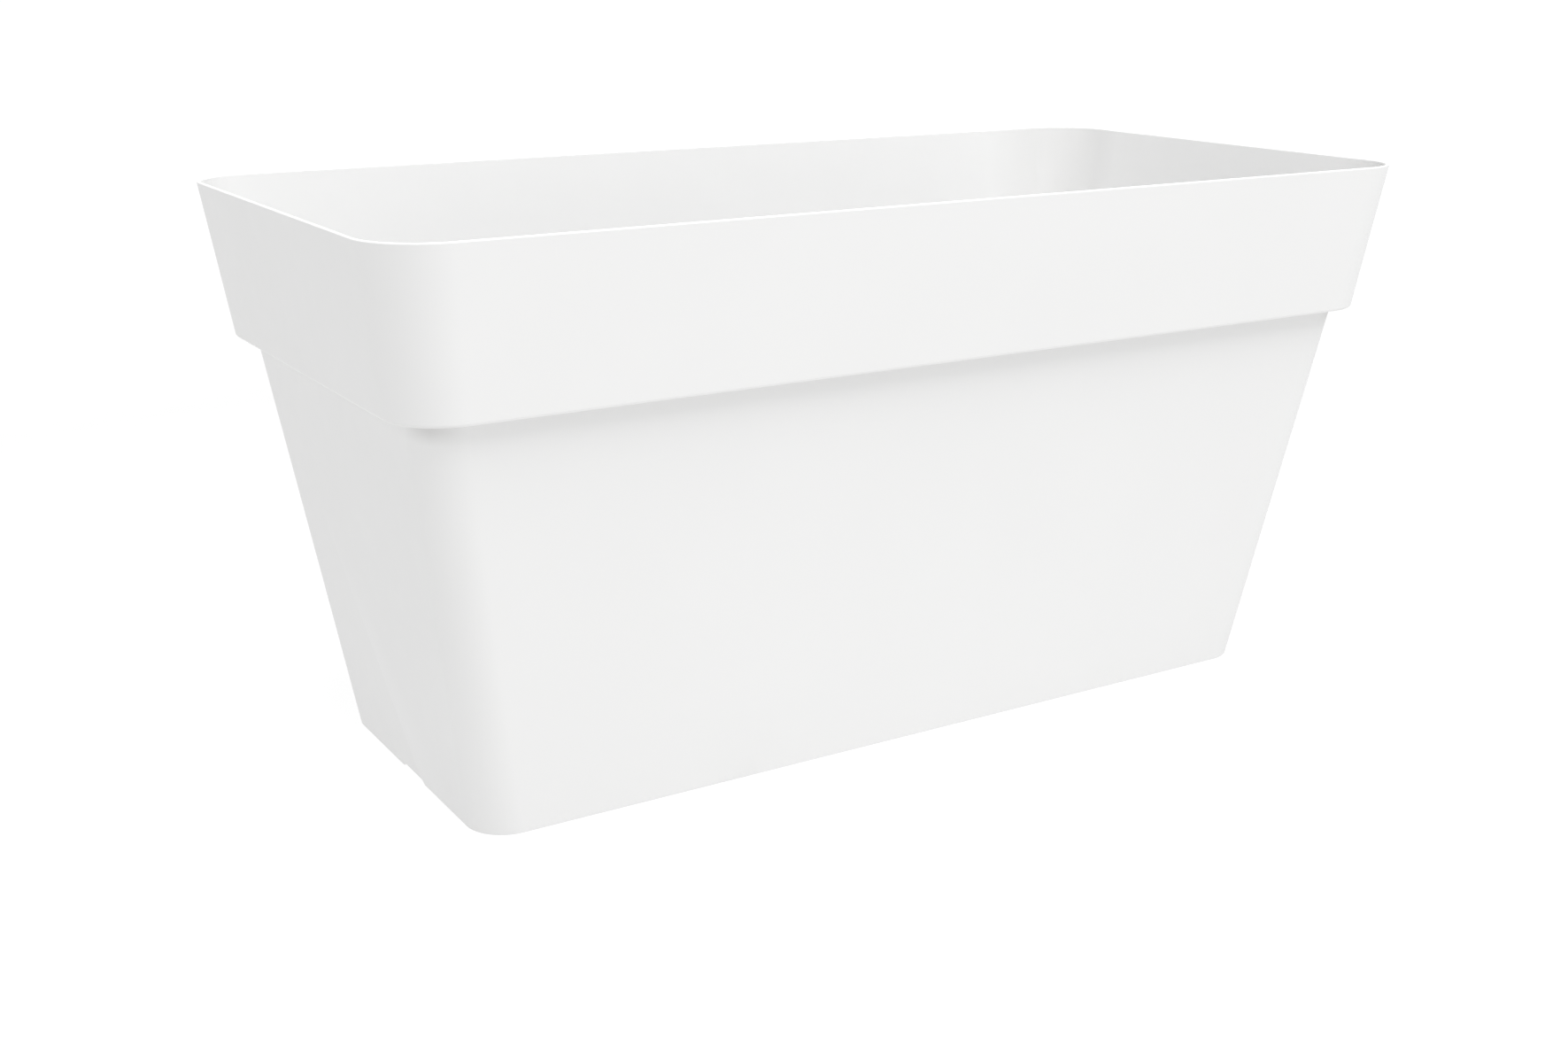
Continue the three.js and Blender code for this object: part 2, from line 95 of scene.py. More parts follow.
CORNER_STEPS = 16  # faces round one plan corner
TURN_STEPS = 64  # faces round a turned piece
ARC_STEP = math.radians(18)  # most that one face of a fillet turns


# ---- mesh making ------------------------------------------------------------------------------------------
def rounded(profile, closed=False):
    """Rounds a chain of (point, fillet). A point's first two numbers are its place in the section's plane.
    Any others, a half width and a corner radius, swell with the first in a fillet."""
    points = []
    for i, (corner, fillet) in enumerate(profile):
        if not fillet or (not closed and i in (0, len(profile) - 1)):
            points.append(corner.copy())
            continue
        before = profile[i - 1][0] - corner
        after = profile[(i + 1) % len(profile)][0] - corner
        opening = before.xy.angle(after.xy)
        tangent = fillet / math.tan(opening / 2)
        start = corner + before * (tangent / before.xy.length)
        end = corner + after * (tangent / after.xy.length)
        bisector = (before.xy.normalized() + after.xy.normalized()).normalized()
        centre = corner.xy + bisector * (fillet / math.sin(opening / 2))
        spoke = start.xy - centre
        sweep = spoke.angle_signed(end.xy - centre)
        steps = max(2, math.ceil(abs(sweep) / ARC_STEP))
        for step in range(steps + 1):
            turn = Matrix.Rotation(-sweep * step / steps, 2)
            arc = centre + turn @ spoke
            straight = start.lerp(end, step / steps)
            bulge = arc.x - straight.x
            points.append(Vector((*arc, *(value + bulge for value in straight[2:]))))
    return points


def skin(rings, closed=False):
    """Joins rings of as many points each, in order, with faces. Flat faces fill an open chain's ends."""
    mesh = bmesh.new()
    loops = [[mesh.verts.new(point) for point in ring] for ring in rings]
    pairs = list(zip(loops, loops[1:]))
    if closed:
        pairs.append((loops[-1], loops[0]))
    for low, high in pairs:
        for i in range(len(low)):
            mesh.faces.new((low[i - 1], low[i], high[i], high[i - 1]))
    if not closed:
        mesh.faces.new(loops[0])
        mesh.faces.new(loops[-1])
    bmesh.ops.recalc_face_normals(mesh, faces=mesh.faces)
    return mesh


def outline(a, b, radius, steps):
    """Points of a rectangle with rounded corners, of half length a and half width b."""
    points = []
    for quarter, (side_x, side_y) in enumerate(((1, 1), (-1, 1), (-1, -1), (1, -1))):
        for step in range(steps + 1):
            angle = math.pi / 2 * (quarter + step / steps)
            x = side_x * (a - radius) + radius * math.cos(angle)
            y = side_y * (b - radius) + radius * math.sin(angle)
            points.append((x, y))
    return points


def loft(chain, closed=False, steps=CORNER_STEPS):
    """Rounded rectangles, one for each (half length, height, half width, corner radius)."""
    return skin([[(x, y, p.y) for x, y in outline(p.x, p.z, p.w, steps)] for p in chain], closed)


def turned(chain, closed=False, steps=TURN_STEPS):
    """A chain of (radius, height) turned about Z. Flat faces fill the ends of an open chain."""
    angles = [math.tau * step / steps for step in range(steps)]
    circle = [(math.cos(angle), math.sin(angle)) for angle in angles]
    return skin([[(r * x, r * y, z) for x, y in circle] for r, z in chain if r > 0], closed)


def spindle(points, closed=False, steps=TURN_STEPS):
    """A turned piece from (radius, height, fillet), in millimetres."""
    chain = [(Vector((radius, height)) * MM, fillet * MM) for radius, height, fillet in points]
    return turned(rounded(chain, closed), closed, steps)


def block(a, b, radius, z0, z1, steps=8):
    """An upright prism on a rounded rectangle, about the Z axis."""
    return loft([Vector((a, z0, b, radius)), Vector((a, z1, b, radius))], steps=steps)


def pebble(a, b, radius, z0, z1, fillet, steps=8):
    """A block whose ends are rounded too."""
    low, high = Vector((a, z0, b, radius)), Vector((a, z1, b, radius))
    inset = Vector((2, 0, 2, 1)) * fillet
    return loft(rounded([(low - inset, 0), (low, fillet), (high, fillet), (high - inset, 0)]), steps=steps)


def moved(mesh, x=0.0, y=0.0, z=0.0):
    bmesh.ops.translate(mesh, vec=(x, y, z), verts=mesh.verts)
    return mesh


def turned_by(mesh, degrees, axis="Z"):
    rotation = Matrix.Rotation(math.radians(degrees), 3, axis)
    bmesh.ops.rotate(mesh, matrix=rotation, verts=mesh.verts)
    return mesh


def tunnel(reach, width, z0, z1, radius, degrees=0):
    """A rounded bar that lies along X, or turned about Z, and reaches as far to either side."""
    bar = turned_by(block((z1 - z0) / 2, width / 2, radius, -reach, reach), 90, "Y")
    return turned_by(moved(bar, z=(z0 + z1) / 2), degrees)


def rod(radius, x0, x1, y, z):
    """A round bar along X."""
    bar = turned([(radius, x0), (radius, x1)], steps=32)
    return moved(turned_by(bar, 90, "Y"), y=y, z=z)


def gathered(meshes):
    """Several meshes as one. They don't touch."""
    whole = bmesh.new()
    for mesh in meshes:
        data = bpy.data.meshes.new("part")
        mesh.to_mesh(data)
        mesh.free()
        whole.from_mesh(data)
        bpy.data.meshes.remove(data)
    return whole


def made(name, mesh):
    data = bpy.data.meshes.new(name)
    mesh.to_mesh(data)
    mesh.free()
    obj = bpy.data.objects.new(name, data)
    bpy.context.scene.collection.objects.link(obj)
    return obj


def applied(obj):
    graph = bpy.context.evaluated_depsgraph_get()
    data = bpy.data.meshes.new_from_object(obj.evaluated_get(graph))
    obj.modifiers.clear()
    obj.data = data
    return obj


def carved(obj, operation, *meshes):
    """Joins the meshes to obj ("UNION") or cuts them from it ("DIFFERENCE")."""
    for mesh in meshes:
        tool = made("tool", mesh)
        modifier = obj.modifiers.new("carve", "BOOLEAN")
        modifier.operation = operation
        modifier.solver = "EXACT"
        modifier.object = tool
        applied(obj)
        bpy.data.objects.remove(tool)
    return obj


def softened(obj, width, steps=2):
    """Rounds the sharp edges that joining and cutting left."""
    modifier = obj.modifiers.new("soften", "BEVEL")
    modifier.width = width
    modifier.segments = steps
    modifier.limit_method = "ANGLE"
    modifier.angle_limit = math.radians(40)
    modifier.use_clamp_overlap = False
    applied(obj)
    mesh = bmesh.new()
    mesh.from_mesh(obj.data)
    bmesh.ops.dissolve_degenerate(mesh, dist=0.002 * MM, edges=mesh.edges)
    mesh.to_mesh(obj.data)
    mesh.free()
    return obj


def shaded(obj):
    """Smooth faces, with normals led by the large flat ones."""
    obj.data.polygons.foreach_set("use_smooth", [True] * len(obj.data.polygons))
    obj.data.set_sharp_from_angle(angle=math.radians(50))
    normals = obj.modifiers.new("normals", "WEIGHTED_NORMAL")
    normals.keep_sharp = True
    return obj


def dressed(obj, node, material):
    """Puts obj in its CAD node's place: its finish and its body."""
    shaded(obj)
    obj.data.materials.clear()
    obj.data.materials.append(material)
    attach(obj, frame["nodes"][node]["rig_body"])
    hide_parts(node)
    return obj


def centre_of(node):
    low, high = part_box(node)
    return (low + high) / 2


def copied(obj, name, place):
    twin = bpy.data.objects.new(name, obj.data)
    bpy.context.scene.collection.objects.link(twin)
    twin.location = place
    return twin


def tub_point(z, inset, radius):
    lean = DRAFT * (HEIGHT - z) + inset
    return Vector((TUB_HIGH.x - lean, z, TUB_HIGH.y - lean, radius))


def band_point(z, inset=0.0):
    share = (z - BAND_Z) / (HEIGHT - BAND_Z)
    return tub_point(z, inset, BAND_RADIUS + (RIM_RADIUS - BAND_RADIUS) * share - inset)


def body_point(z, inset=0.0):
    return tub_point(z, LEDGE + inset, BODY_RADIUS - inset)


# ---- materials --------------------------------------------------------------------------------------------
FLAT_POINTINESS, EDGE_POINTINESS = 0.54, 0.62  # where wear starts, and where it is whole
WEAR = 0.5  # the most that an edge takes on of its worn colour
POLISH = 0.12  # how much smoother a worn edge is


class Shader:
    """A material on the Principled shader, with helpers that add nodes to it."""

    def __init__(self, name, **constants):
        self.material = bpy.data.materials.new(name)
        self.material.use_nodes = True
        self.tree = self.material.node_tree
        self.surface = self.tree.nodes["Principled BSDF"]
        for socket, value in constants.items():
            self.surface.inputs[socket.replace("_", " ")].default_value = value
        self.place = self.add("ShaderNodeTexCoord").outputs["Object"]

    def add(self, kind, links=(), **settings):
        node = self.tree.nodes.new(kind)
        for name, value in settings.items():
            setattr(node, name, value)
        for socket, value in dict(links).items():
            if isinstance(value, bpy.types.NodeSocket):
                self.tree.links.new(value, node.inputs[socket])
            else:
                node.inputs[socket].default_value = value
        return node

    def noise(self, feature, detail=3.0, stretch=(1, 1, 1)):
        """Cloudy values from 0 to 1, with features of about that size."""
        scaled = self.add("ShaderNodeMapping", {"Vector": self.place, "Scale": stretch})
        links = {"Vector": scaled.outputs[0], "Scale": 1 / feature, "Detail": detail}
        return self.add("ShaderNodeTexNoise", links).outputs["Fac"]

    def spread(self, value, low, high, start=0.3, end=0.7):
        """The value's range from start to end, stretched to go from low to high."""
        sockets = {0: value, 1: start, 2: end, 3: low, 4: high}
        return self.add("ShaderNodeMapRange", sockets).outputs[0]

    def mixed(self, share, first, second):
        """A colour between the first and the second."""
        sockets = {0: share, 6: first, 7: second}
        return self.add("ShaderNodeMix", sockets, data_type="RGBA").outputs[2]

    def combined(self, operation, *values):
        return self.add("ShaderNodeMath", dict(enumerate(values)), operation=operation).outputs[0]

    def edges(self):
        """1 on outer edges, 0 on flat and hollow places."""
        pointiness = self.add("ShaderNodeNewGeometry").outputs["Pointiness"]
        return self.spread(pointiness, 0, 1, FLAT_POINTINESS, EDGE_POINTINESS)

    def bump(self, height, distance, strength=1.0, below=None):
        links = {"Height": height, "Distance": distance, "Strength": strength}
        if below is not None:
            links["Normal"] = below
        return self.add("ShaderNodeBump", links).outputs[0]

    def connect(self, socket, value):
        self.tree.links.new(value, self.surface.inputs[socket])


def plastic(name, colour, roughness, worn, grain=0.7 * MM, depth=0.012 * MM, drift=0.02, painted_shade=None):
    """Moulded plastic: a fine spark-eroded grain, faint flow marks, handled edges, and any painted shade
    that is given.
    """
    shader = Shader(name, IOR=1.49)
    flow = shader.noise(90 * MM, 2)
    clouds = shader.noise(14 * MM, 4)
    dark = [c * (1 - drift) for c in colour] + [1]
    light = [min(1, c * (1 + drift)) for c in colour] + [1]
    base = shader.mixed(shader.spread(flow, 0, 1), dark, light)
    # where given, painted shade darkens the base colour by place
    if painted_shade:
        base = painted_shade(shader, base)
    edge = shader.combined("MULTIPLY", shader.edges(), shader.spread(clouds, 0.3 * WEAR, WEAR))
    shader.connect("Base Color", shader.mixed(edge, base, [*worn, 1]))
    satin = shader.spread(clouds, roughness - 0.04, roughness + 0.04)
    polish = shader.combined("MULTIPLY", edge, POLISH)
    shader.connect("Roughness", shader.combined("SUBTRACT", satin, polish))
    waves = shader.bump(flow, 0.25 * MM, 0.5)
    shader.connect("Normal", shader.bump(shader.noise(grain, 4), depth, 1.0, waves))
    return shader.material


# the colour of the painted shade, mixed in under the tub's ledge, at its corners and in its inner corners
SHADE_COLOUR = (0.3, 0.29, 0.28)
ROUND_SHADE = 0.07  # the painted shade's share of the colour all round, just under the ledge
ROUND_FADE = (5 * MM, 13 * MM)  # below the ledge, where that share starts to fade and where it ends
CORNER_SHADE = 0.24  # what the painted shade's share gains at the corners
CORNER_RISE = (-2.5 * MM, 0.5 * MM)  # below the ledge, where that starts and where it is whole
CORNER_FADE = (6 * MM, 15 * MM)
CORNER_WHOLE = 0.35  # of the body's corner radius, from its sides, where the corner's gain is whole
INNER_SHADE = 0.165  # the painted shade's share inside, in the right end's corners
INNER_LENGTH = (95 * MM, 25 * MM)  # from the short side's rim, where that starts and where it is whole
INNER_WIDTH = (65 * MM, 15 * MM)  # the same from the long sides' rims


def inner_corner_shade(shader, place):
    """The share of painted shade on the tub's inside, in the upright corners of its right end."""
    normal = shader.add("ShaderNodeTexCoord").outputs["Normal"]
    level = shader.add("ShaderNodeVectorMath", {0: shader.place, 1: (1, 1, 0)}, operation="MULTIPLY")
    sides = {0: normal, 1: level.outputs[0]}
    facing = shader.add("ShaderNodeVectorMath", sides, operation="DOT_PRODUCT").outputs["Value"]
    inside = shader.combined("LESS_THAN", facing, 0.0)
    rim = band_point(HEIGHT, WALL)
    along = shader.spread(place.outputs["X"], 0, INNER_SHADE, *(rim.x - reach for reach in INNER_LENGTH))
    out = shader.combined("ABSOLUTE", place.outputs["Y"])
    across = shader.spread(out, 0, 1, *(rim.z - reach for reach in INNER_WIDTH))
    return shader.combined("MULTIPLY", inside, shader.combined("MULTIPLY", along, across))


def painted_ledge_shade(shader, base):
    """Painted shade just under the tub's ledge, most of it at the corners, and some painted shade inside."""
    place = shader.add("ShaderNodeSeparateXYZ", {0: shader.place})
    depth = shader.combined("SUBTRACT", BAND_Z, place.outputs["Z"])
    below = shader.combined("GREATER_THAN", depth, 0.0)
    # painted shadow all round, just under the ledge
    round_darkening = shader.combined("MULTIPLY", below, shader.spread(depth, ROUND_SHADE, 0, *ROUND_FADE))
    # painted shadow that deepens at the body's corners, just under the ledge
    corner_darkening = shader.spread(depth, CORNER_SHADE, 0, *CORNER_FADE)
    corner_darkening = shader.combined("MULTIPLY", corner_darkening, shader.spread(depth, 0, 1, *CORNER_RISE))
    foot = body_point(BAND_Z)
    for axis, reach in (("X", foot.x), ("Y", foot.z)):
        out = shader.combined("ABSOLUTE", place.outputs[axis])
        corner = shader.spread(out, 0, 1, reach - BODY_RADIUS, reach - CORNER_WHOLE * BODY_RADIUS)
        corner_darkening = shader.combined("MULTIPLY", corner_darkening, corner)
    share = shader.combined("ADD", round_darkening, corner_darkening)
    share = shader.combined("ADD", share, inner_corner_shade(shader, place))
    return shader.mixed(share, base, [*SHADE_COLOUR, 1])


def clear_plastic(name):
    shader = Shader(name, Transmission_Weight=1.0, IOR=1.49, Roughness=0.04)
    haze = shader.noise(6 * MM, 3)
    shader.connect("Base Color", shader.mixed(haze, [0.93, 0.97, 0.98, 1], [0.98, 0.99, 0.99, 1]))
    shader.connect("Roughness", shader.spread(haze, 0.02, 0.09))
    shader.connect("Normal", shader.bump(shader.noise(3 * MM, 2), 0.02 * MM, 0.6))
    return shader.material


def foam(name, colour):
    """Closed-cell foam: small round cells with darker walls."""
    shader = Shader(name, IOR=1.45)
    links = {"Vector": shader.place, "Scale": 1 / (1.6 * MM)}
    cells = shader.add("ShaderNodeTexVoronoi", links).outputs["Distance"]
    dark = [c * 0.82 for c in colour] + [1]
    shader.connect("Base Color", shader.mixed(shader.spread(cells, 0, 1, 0.2, 0.7), [*colour, 1], dark))
    shader.connect("Roughness", shader.spread(shader.noise(5 * MM), 0.75, 0.92))
    shader.connect("Normal", shader.bump(cells, 0.25 * MM, 0.8))
    return shader.material


def rubber(name, colour):
    shader = Shader(name, IOR=1.5)
    bloom = shader.noise(4 * MM, 4)
    pale = [c + 0.03 for c in colour] + [1]
    shader.connect("Base Color", shader.mixed(shader.spread(bloom, 0, 1), [*colour, 1], pale))
    shader.connect("Roughness", shader.spread(bloom, 0.6, 0.82))
    shader.connect("Normal", shader.bump(shader.noise(0.4 * MM, 3), 0.01 * MM))
    return shader.material


def drawn_wire(name, colour):
    """Steel wire with marks along its length, which is X."""
    shader = Shader(name, Metallic=1.0)
    marks = shader.noise(0.3 * MM, 3, stretch=(0.04, 1, 1))
    dark = [c * 0.75 for c in colour] + [1]
    shader.connect("Base Color", shader.mixed(shader.spread(marks, 0, 1), dark, [*colour, 1]))
    shader.connect("Roughness", shader.spread(marks, 0.22, 0.42))
    shader.connect("Normal", shader.bump(marks, 0.01 * MM, 0.7))
    return shader.material


def printed_scale(name):
    """White card with a low, a good and a full band, and a tick every 4 mm."""
    shader = Shader(name, IOR=1.5)
    low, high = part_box("gauge_scale")
    height = shader.add("ShaderNodeSeparateXYZ", {0: shader.place}).outputs["Z"]
    share = shader.spread(height, 0, 1, low.z, high.z)
    bands = shader.add("ShaderNodeValToRGB", {"Fac": share})
    bands.color_ramp.interpolation = "CONSTANT"
    colours = ((0.0, (0.75, 0.08, 0.05, 1)), (0.22, (0.86, 0.86, 0.83, 1)), (0.8, (0.05, 0.25, 0.6, 1)))
    bands.color_ramp.elements.remove(bands.color_ramp.elements[0])
    for i, (position, colour) in enumerate(colours):
        element = bands.color_ramp.elements[0] if i == 0 else bands.color_ramp.elements.new(position)
        element.position = position
        element.color = colour
    ticks = shader.combined("FRACT", shader.combined("DIVIDE", height, 4 * MM))
    is_tick = shader.combined("LESS_THAN", ticks, 0.12)
    paper = shader.noise(0.5 * MM, 3)
    inked = shader.mixed(is_tick, bands.outputs["Color"], [0.04, 0.04, 0.05, 1])
    shader.connect("Base Color", shader.mixed(shader.spread(paper, 0, 0.06), inked, [0.9, 0.9, 0.9, 1]))
    shader.connect("Roughness", shader.spread(paper, 0.35, 0.5))
    shader.connect("Normal", shader.bump(paper, 0.01 * MM, 0.5))
    return shader.material


WHITE = (0.8, 0.8, 0.797)
materials = {
    # the tub's colour has painted shade under the ledge, at its corners and in the right end's inner corners
    "tub": plastic("white_plastic", WHITE, 0.5, (0.84, 0.84, 0.84), drift=0.004, painted_shade=painted_ledge_shade),
    "separator": plastic("grey_plastic", (0.085, 0.09, 0.095), 0.48, (0.2, 0.2, 0.21), grain=0.9 * MM),
    "fitting": plastic("dark_plastic", (0.04, 0.042, 0.045), 0.45, (0.14, 0.14, 0.15)),
    "tube": plastic("tube_plastic", (0.085, 0.09, 0.095), 0.42, (0.2, 0.2, 0.21)),
    "flap": plastic("flap_plastic", (0.32, 0.34, 0.35), 0.46, (0.45, 0.46, 0.47)),
    "plug": plastic("blue_plastic", (0.02, 0.12, 0.36), 0.42, (0.15, 0.3, 0.55)),
    "marker": plastic("red_plastic", (0.6, 0.02, 0.015), 0.25, (0.8, 0.2, 0.15), depth=0.003 * MM),
    "stem": plastic("stem_plastic", (0.8, 0.8, 0.76), 0.35, (0.88, 0.88, 0.86), depth=0.004 * MM),
    "window": clear_plastic("clear_plastic"),
    "scale": printed_scale("printed_scale"),
    "float": foam("float_foam", (0.8, 0.78, 0.72)),
    "seal": rubber("black_rubber", (0.015, 0.015, 0.016)),
    "pin": drawn_wire("steel_wire", (0.62, 0.63, 0.65)),
}


# ---- the tub ----------------------------------------------------------------------------------------------
def riser_meshes():
    """One riser's outside, with a fillet at its foot, and its hollow with the plug hole."""
    top, foot, wall = RISER_TOP / MM, RISER_FOOT / MM, WALL / MM
    level, floor = WATER_LEVEL / MM, FLOOR_TOP / MM
    slope = (foot - top) / (level - floor)
    outside = spindle([
        (0, floor - 1, 0),
        (foot + 3, floor - 1, 0),
        (foot + 3, floor - 0.2, 0),
        (foot, floor - 0.2, 2.5),
        (top, level, 1.2),
        (0, level, 0),
    ])
    hollow_foot = foot - wall + slope * floor
    hollow_top = top - wall + slope * wall
    hollow = spindle([
        (0, -5, 0),
        (hollow_foot + 5 * slope, -5, 0),
        (hollow_top, level - wall, 2),
        (PLUG_HOLE / MM, level - wall, 0),
        (PLUG_HOLE / MM, level + 5, 0),
        (0, level + 5, 0),
    ])
    return outside, hollow


def tub():
    section = [
        (body_point(FLOOR_Z, 4 * WALL), 0),
        (body_point(FLOOR_Z, WALL), 0.8 * MM),
        (body_point(0, WALL), FOOT_FILLET),
        (body_point(0), FOOT_FILLET),
        (body_point(BAND_Z), 2 * MM),
        (band_point(BAND_Z), 2.6 * MM),
        (band_point(HEIGHT), 0.9 * MM),
        (band_point(HEIGHT, WALL), 1.4 * MM),
        (band_point(BAND_Z + WALL, WALL), 3 * MM),
        (body_point(BAND_Z + WALL, WALL), 2.5 * MM),
        (body_point(FLOOR_TOP, WALL), 3 * MM),
        (body_point(FLOOR_TOP, 5 * WALL), 0),
    ]
    obj = made("tub", loft(rounded(section), steps=24))

    rib_z = (FLOOR_Z - 4 * MM, FLOOR_Z + 1 * MM)
    ends = body_point(rib_z[0], WALL / 2)
    for y in LONG_RIBS:
        carved(obj, "UNION", moved(block(ends.x, RIB_HALF, 0.3 * MM, *rib_z, steps=2), y=y))
    for x in CROSS_RIBS:
        carved(obj, "UNION", moved(block(RIB_HALF, ends.z, 0.3 * MM, *rib_z, steps=2), x=x))
    for side in (-1, 1):
        x = side * centre_of("overflow_plug_right").x
        outside, hollow = riser_meshes()
        carved(obj, "UNION", moved(outside, x=x))
        carved(obj, "DIFFERENCE", moved(hollow, x=x))
    notch = tunnel(TUB_HIGH.x, NOTCH_WIDTH, -20 * MM, NOTCH_HEIGHT, NOTCH_ROUND)
    carved(obj, "DIFFERENCE", moved(notch, y=NOTCH_SHIFT))
    return dressed(softened(obj, 0.2 * MM), "planter_tub", materials["tub"])


# ---- the separator floor ----------------------------------------------------------------------------------
SLOT_LENGTH, SLOT_WIDTH = 34 * MM, 5 * MM
FIRST_SLOT, SLOT_PITCH_X, SLOT_PITCH_Y = 32, 46, 20  # in millimetres
SLOT_COLUMNS, SLOT_ROWS = 7, 5  # columns on the half, and rows on either side of the middle one
SLOT_MARGIN = 5 * MM
TRAY_RIB = Vector((155, 50)) * MM  # the middle of a stiffening rib under the half
TRAY_RIB_HALF = 145 * MM
FLANGE_REACH = 36 * MM  # of a wick basket
TOWER_REACH = 31 * MM
LEG_REACH = 10.5 * MM
CLIP_X = 8 * MM
CLIP_REACH = 7 * MM
BASKET_HOLE = 31 * MM
LEG_HOLE = 4.3 * MM
GAUGE_HOLE = 14.3 * MM
TUBE_HOLE = (26.3 * MM, 19.3 * MM, 8.3 * MM)  # half length, half width, corner radius
BASKET_X = [centre_of(f"wick_basket_{i}").x for i in (3, 4)]
LEG_PLACES = [centre_of(f"support_leg_{i}").xy for i in (5, 6, 7, 8)]
TOWER_PLACE = centre_of("gauge_tube").xy
CLIP_Y = centre_of("joining_clip_back").y


def slot_places():
    """Rows of drain slots on the right half, clear of everything that is fitted."""
    fitted = [(Vector((x, 0)), FLANGE_REACH) for x in BASKET_X]
    fitted += [(place, LEG_REACH) for place in LEG_PLACES]
    fitted += [(TOWER_PLACE, TOWER_REACH)]
    fitted += [(Vector((CLIP_X, y)), CLIP_REACH) for y in (-CLIP_Y, CLIP_Y)]
    clearance = SLOT_WIDTH / 2 + SLOT_MARGIN
    for column in range(SLOT_COLUMNS):
        for row in range(-SLOT_ROWS, SLOT_ROWS + 1):
            place = Vector((FIRST_SLOT + SLOT_PITCH_X * column, SLOT_PITCH_Y * row)) * MM
            for middle, reach in fitted:
                away = middle - place
                away.x = max(abs(away.x) - SLOT_LENGTH / 2, 0)
                if away.length <= reach + clearance:
                    break
            else:
                yield place


def separator(side):
    node = f"separator_{side}"
    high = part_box("separator_right")[1]
    corner = BODY_RADIUS - WALL - 1 * MM
    lip = 2.5 * MM

    def point(z, inset):
        return Vector((high.x - inset, z, high.y - inset, corner - inset))

    tray = loft(rounded([
        (point(PLATE_Z, 10 * MM), 0),
        (point(PLATE_Z, 0), 0.8 * MM),
        (point(high.z, 0), 0.8 * MM),
        (point(high.z, lip), 0.8 * MM),
        (point(PLATE_TOP, lip), 1.2 * MM),
        (point(PLATE_TOP, 10 * MM), 0),
    ]))
    obj = made(f"{side}_separator", tray)
    other_half = moved(block(1, 1, 0.1, -1, 1), x=1 * MM - 1)  # and 1 mm more, for the joint
    carved(obj, "DIFFERENCE", other_half)
    rib_z = (PLATE_Z - 6 * MM, PLATE_Z + 1 * MM)
    for y in (-TRAY_RIB.y, TRAY_RIB.y):
        rib = block(TRAY_RIB_HALF, RIB_HALF, 0.5 * MM, *rib_z, steps=3)
        carved(obj, "UNION", moved(rib, x=TRAY_RIB.x, y=y))

    through = (PLATE_Z - 10 * MM, PLATE_TOP + 10 * MM)
    slots = [
        moved(block(SLOT_LENGTH / 2, SLOT_WIDTH / 2, SLOT_WIDTH / 2.02, *through, steps=6), *place)
        for place in slot_places()
    ]
    round_holes = [(Vector((x, 0)), BASKET_HOLE) for x in BASKET_X]
    round_holes += [(place, LEG_HOLE) for place in LEG_PLACES]
    if side == "right":
        round_holes.append((TOWER_PLACE, GAUGE_HOLE))
    else:
        slots.append(moved(block(*TUBE_HOLE, *through), *TOWER_PLACE))
    for y in (-CLIP_Y, CLIP_Y):
        slots.append(moved(block(1.3 * MM, 5.3 * MM, 0.5 * MM, *through, steps=3), CLIP_X, y))
    for place, radius in round_holes:
        z0, z1 = through
        hole = turned([(radius, z0), (radius, z1)], steps=48)
        slots.append(moved(hole, *place))
    carved(obj, "DIFFERENCE", gathered(slots))
    softened(obj, 0.4 * MM)
    if side == "left":
        obj.data.transform(Matrix.Scale(-1, 4, (1, 0, 0)))
        obj.data.flip_normals()
    return dressed(obj, node, materials["separator"])


def joining_clips():
    """Staples that join the two halves: a bar on top and two prongs through the floor."""
    low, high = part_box("joining_clip_back")
    bar_z = PLATE_TOP + 0.3 * MM
    bar = loft(rounded([
        (Vector((5 * MM, bar_z, 1 * MM, 0.5 * MM)), 0),
        (Vector((high.x, bar_z, 7 * MM, 2.5 * MM)), 0.4 * MM),
        (Vector((high.x, high.z, 7 * MM, 2.5 * MM)), 0.9 * MM),
        (Vector((5 * MM, high.z, 1 * MM, 0.5 * MM)), 0),
    ]), steps=6)
    obj = made("clip", bar)
    for x in (-CLIP_X, CLIP_X):
        prong = block(1 * MM, 5 * MM, 0.5 * MM, low.z, bar_z + 1 * MM, steps=3)
        carved(obj, "UNION", moved(prong, x=x))
    softened(obj, 0.25 * MM)
    for side, y in (("front", -CLIP_Y), ("back", CLIP_Y)):
        clip = copied(obj, f"{side}_clip", (0, y, 0))
        dressed(clip, f"joining_clip_{side}", materials["fitting"])
    bpy.data.objects.remove(obj)


def wick_baskets():
    """Slotted cups that hang from their flanges into the water."""
    low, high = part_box("wick_basket_1")
    foot, flange, top = low.z / MM, high.z / MM - 2.5, high.z / MM
    cup = spindle([
        (0, foot, 0),
        (22, foot, 2.5),
        (30, flange, 0.8),
        (36, flange, 0.8),
        (36, top, 1),
        (28, top, 1),
        (20, foot + 2, 1.5),
        (0, foot + 2, 0),
    ])
    obj = made("basket", cup)
    for turn in range(4):
        slot_z = (low.z + 8 * MM, PLATE_Z - 8 * MM)
        slot = tunnel(45 * MM, 4 * MM, *slot_z, 1.95 * MM, 45 * (turn + 0.5))
        carved(obj, "DIFFERENCE", slot)
    softened(obj, 0.3 * MM)
    for i in range(1, 5):
        node = f"wick_basket_{i}"
        dressed(copied(obj, f"basket_{i}", (centre_of(node).x, 0, 0)), node, materials["fitting"])
    bpy.data.objects.remove(obj)


